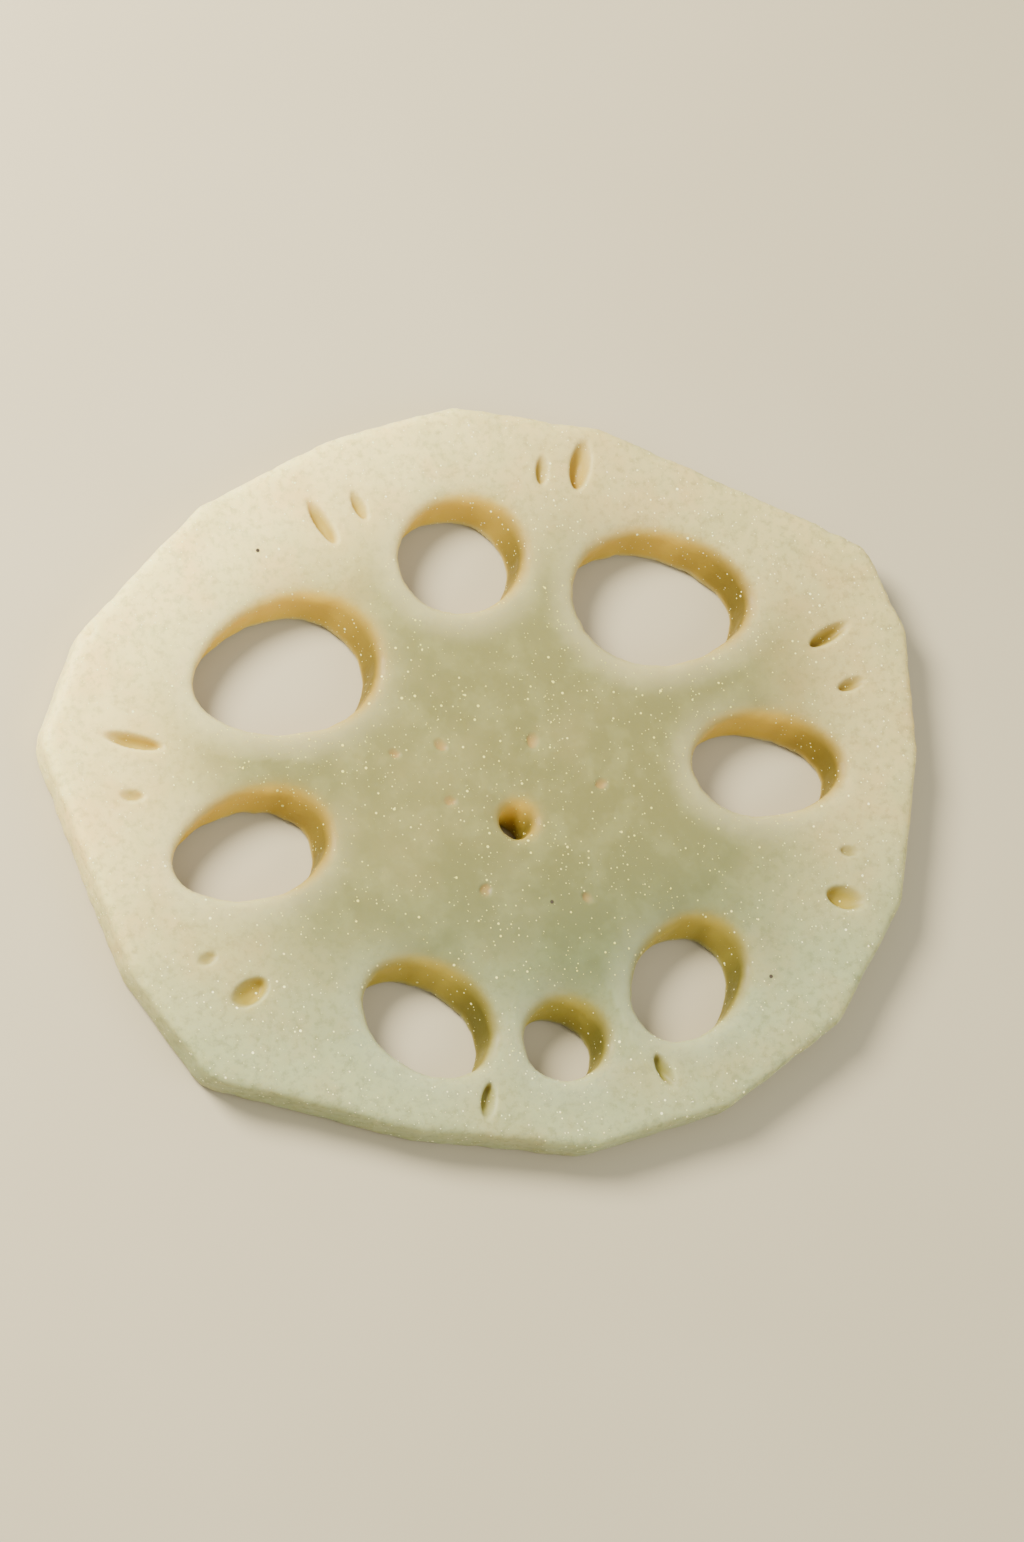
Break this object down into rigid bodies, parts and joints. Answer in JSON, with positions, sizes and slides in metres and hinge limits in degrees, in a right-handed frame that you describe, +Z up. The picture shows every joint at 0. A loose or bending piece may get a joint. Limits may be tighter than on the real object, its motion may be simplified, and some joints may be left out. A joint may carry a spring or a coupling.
{
  "type": "lotus root slice",
  "caption": "Raw peeled lotus root slice: a thin oval disc cut across the root, with flat peeled facets round its rim, a ring of large air canals and small pores under the rim.",
  "frame": {"origin": "middle of the slice's bounding box, on the flat surface that it lies on", "axes": "+Z up, square to both cut faces; +Y from the middle canal towards the round canal at the top of the ring; +X along the longer way across the slice"},
  "size_m": [0.0782, 0.0652, 0.0042],
  "materials": {
    "lotus_flesh": null
  },
  "bodies": {
    "root": {"lotus_root_slice": "lotus_flesh"}
  },
  "joints": []
}
